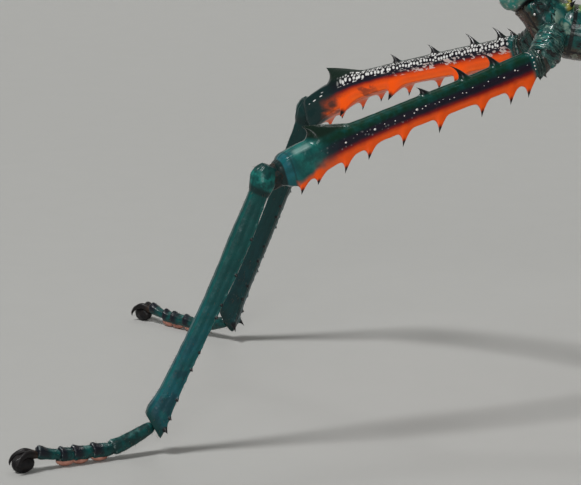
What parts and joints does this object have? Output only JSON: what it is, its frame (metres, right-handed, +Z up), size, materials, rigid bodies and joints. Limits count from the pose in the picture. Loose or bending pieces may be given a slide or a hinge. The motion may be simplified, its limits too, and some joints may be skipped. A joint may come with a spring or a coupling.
{
  "type": "giant stick insect",
  "caption": "Life-size museum model of a male giant stick insect standing on six thorned legs, head and feelers raised",
  "frame": {"origin": "on the floor, under the middle of the bounding box", "axes": "+Z up, -Y the way the insect heads, +X its left side"},
  "size_m": [0.112, 0.2057, 0.1028],
  "materials": {
    "head_shell": "satin blue-green horn",
    "thorax_shell": "satin blue-green horn with granules",
    "abdomen_shell": "satin blue-green horn with banded rear edges",
    "femur_shell": "glossy: green above, black band with white dots, red to orange below",
    "leg_shell": "glossy dark teal",
    "tarsus_shell": "glossy dark teal with pale orange pads",
    "claw": "glossy black",
    "antenna": "dark brown with faint pale rings",
    "eye": "glossy banded brown",
    "mouthparts": "satin olive brown",
    "wing": "leathery, black with yellow and blue"
  },
  "bodies": {
    "root": {"abdomen_10": "abdomen_shell", "abdomen_2": "abdomen_shell", "abdomen_3": "abdomen_shell", "abdomen_4": "abdomen_shell", "abdomen_5": "abdomen_shell", "abdomen_6": "abdomen_shell", "abdomen_7": "abdomen_shell", "abdomen_8": "abdomen_shell", "abdomen_9": "abdomen_shell", "antenna_left": "antenna", "antenna_right": "antenna", "cercus_left": "abdomen_shell", "cercus_right": "abdomen_shell", "coxa_front_left": "leg_shell", "coxa_front_right": "leg_shell", "coxa_hind_left": "leg_shell", "coxa_hind_right": "leg_shell", "coxa_middle_left": "leg_shell", "coxa_middle_right": "leg_shell", "eye_left": "eye", "eye_right": "eye", "femur_front_left": "femur_shell", "femur_front_right": "femur_shell", "femur_hind_left": "femur_shell", "femur_hind_right": "femur_shell", "femur_middle_left": "femur_shell", "femur_middle_right": "femur_shell", "head": "head_shell", "hindwing_left": "wing", "hindwing_right": "wing", "mesothorax": "thorax_shell", "metathorax": "thorax_shell", "mouthparts": "mouthparts", "pretarsus_front_left": "claw", "pretarsus_front_right": "claw", "pretarsus_hind_left": "claw", "pretarsus_hind_right": "claw", "pretarsus_middle_left": "claw", "pretarsus_middle_right": "claw", "prothorax": "thorax_shell", "subgenital_plate": "abdomen_shell", "tarsus_front_left": "tarsus_shell", "tarsus_front_right": "tarsus_shell", "tarsus_hind_left": "tarsus_shell", "tarsus_hind_right": "tarsus_shell", "tarsus_middle_left": "tarsus_shell", "tarsus_middle_right": "tarsus_shell", "tegmen_left": "wing", "tegmen_right": "wing", "tibia_front_left": "leg_shell", "tibia_front_right": "leg_shell", "tibia_hind_left": "leg_shell", "tibia_hind_right": "leg_shell", "tibia_middle_left": "leg_shell", "tibia_middle_right": "leg_shell"}
  },
  "joints": []
}
